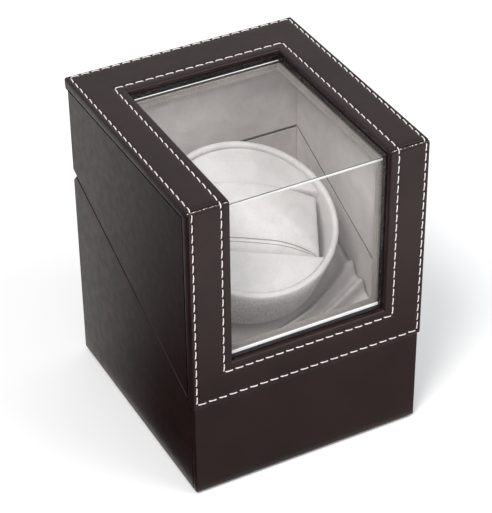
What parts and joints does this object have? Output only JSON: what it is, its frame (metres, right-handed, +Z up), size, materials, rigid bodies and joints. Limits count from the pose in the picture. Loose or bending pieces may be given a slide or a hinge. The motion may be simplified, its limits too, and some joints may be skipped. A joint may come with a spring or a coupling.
{
  "type": "watch winder box",
  "caption": "Leather-covered box with a sloping hinged lid, an L-shaped window over top and front, and a tilted velvet rotor cup that turns a watch on its cushion.",
  "frame": {"origin": "middle of the footprint, on the surface the box stands on", "axes": "+Z up; -Y towards the window's front; +X to the right seen from the front"},
  "size_m": [0.134, 0.142, 0.178],
  "materials": {
    "espresso_leather": "smooth wrapped faux leather over board, semi-gloss, espresso brown",
    "trim_lacquer": "dark gloss trim ring inside the window",
    "clear_acrylic": "clear polished acrylic pane",
    "taupe_board": "taupe flocked board behind the panes",
    "grey_velvet": "short-pile warm grey velvet",
    "cushion_velvet": "short-pile pale grey velvet over foam",
    "bare_wood": "unfinished fibreboard",
    "hinge_brass": "brass-plated steel, satin",
    "steel": "zinc-plated steel",
    "white_plastic": "moulded acetal, natural white",
    "black_plastic": "moulded black plastic",
    "circuit_board": "green circuit board with its parts",
    "red_wire": "red wire insulation",
    "blue_wire": "blue wire insulation",
    "foot_rubber": "black foam rubber foot pad",
    "stitch_thread": "off-white waxed thread"
  },
  "bodies": {
    "base": {"base_left_panel": "espresso_leather", "base_right_panel": "espresso_leather", "base_front_panel": "espresso_leather", "base_back_panel": "espresso_leather", "base_bottom_panel": "bare_wood", "base_left_liner": "grey_velvet", "base_right_liner": "grey_velvet", "base_front_liner": "grey_velvet", "base_back_liner": "grey_velvet", "base_hinge_rail": "bare_wood", "base_hinge_leaves": "hinge_brass", "base_hinge_screws": "hinge_brass", "hinge_pins": "steel", "platform": "grey_velvet", "platform_cloth": "grey_velvet", "platform_cleats": "bare_wood", "gearbox_case": "white_plastic", "gearbox_cover": "white_plastic", "gearbox_screws": "steel", "gear_axles": "steel", "output_bush": "hinge_brass", "motor_can": "steel", "motor_magnets": "black_plastic", "motor_end_cap": "black_plastic", "control_board": "circuit_board", "board_standoffs": "hinge_brass", "power_wires": "red_wire", "motor_wires": "blue_wire", "connector_plate": "black_plastic", "dc_jack": "black_plastic", "switch_housing": "black_plastic", "foot_pads": "foot_rubber"},
    "lid": {"face_frame": "espresso_leather", "window_trim": "trim_lacquer", "top_pane": "clear_acrylic", "front_pane": "clear_acrylic", "pane_retainer": "taupe_board", "lid_left_panel": "espresso_leather", "lid_right_panel": "espresso_leather", "lid_back_panel": "espresso_leather", "lid_left_liner": "grey_velvet", "lid_right_liner": "grey_velvet", "lid_back_liner": "grey_velvet", "lid_hinge_rail": "bare_wood", "lid_hinge_leaves": "hinge_brass", "lid_hinge_screws": "hinge_brass"},
    "rotor": {"rotor_cup": "grey_velvet", "upper_pad": "grey_velvet", "lower_pad": "grey_velvet", "rotor_hub": "white_plastic", "hub_screw": "steel", "output_shaft": "steel", "output_gear": "white_plastic"},
    "cushion": {"watch_cushion": "cushion_velvet"},
    "motor_spindle": {"motor_pinion": "hinge_brass", "motor_armature": "hinge_brass"},
    "gear_one": {"first_gear": "white_plastic"},
    "gear_two": {"second_gear": "white_plastic"},
    "gear_three": {"third_gear": "white_plastic"},
    "rocker": {"switch_rocker": "black_plastic"}
  },
  "joints": [
    {"name": "lid_hinge", "type": "hinge", "parent": "base", "child": "lid", "pos_m": [0, 0.0692, 0.12089], "axis": [-1, 0, 0], "range_deg": [0, 100]},
    {"name": "rotor_spin", "type": "hinge", "parent": "base", "child": "rotor", "pos_m": [0, 0.00528, 0.09176], "axis": [0, -0.4147, 0.91], "continuous": true},
    {"name": "cushion_lift", "type": "slide", "parent": "rotor", "child": "cushion", "axis": [0, -0.4147, 0.91], "range_m": [0, 0.034]},
    {"name": "gear_three_spin", "type": "hinge", "parent": "base", "child": "gear_three", "pos_m": [0.0138, 0.01855, 0.06264], "axis": [0, -0.4147, 0.91], "continuous": true},
    {"name": "gear_two_spin", "type": "hinge", "parent": "base", "child": "gear_two", "pos_m": [0.0069, 0.02942, 0.0676], "axis": [0, -0.4147, 0.91], "continuous": true},
    {"name": "gear_one_spin", "type": "hinge", "parent": "base", "child": "gear_one", "pos_m": [-0.0069, 0.02942, 0.0676], "axis": [0, -0.4147, 0.91], "continuous": true},
    {"name": "motor_spin", "type": "hinge", "parent": "base", "child": "motor_spindle", "pos_m": [-0.0138, 0.01855, 0.06264], "axis": [0, -0.4147, 0.91], "continuous": true},
    {"name": "rocker_switch", "type": "hinge", "parent": "base", "child": "rocker", "pos_m": [0.018, 0.0645, 0.028], "axis": [-1, 0, 0], "range_deg": [0, 20]}
  ],
  "couplings": [
    {"joint": "gear_three_spin", "follows": "rotor_spin", "ratio": -3.6},
    {"joint": "gear_two_spin", "follows": "rotor_spin", "ratio": 12.96},
    {"joint": "gear_one_spin", "follows": "rotor_spin", "ratio": -46.656},
    {"joint": "motor_spin", "follows": "rotor_spin", "ratio": 167.96}
  ]
}
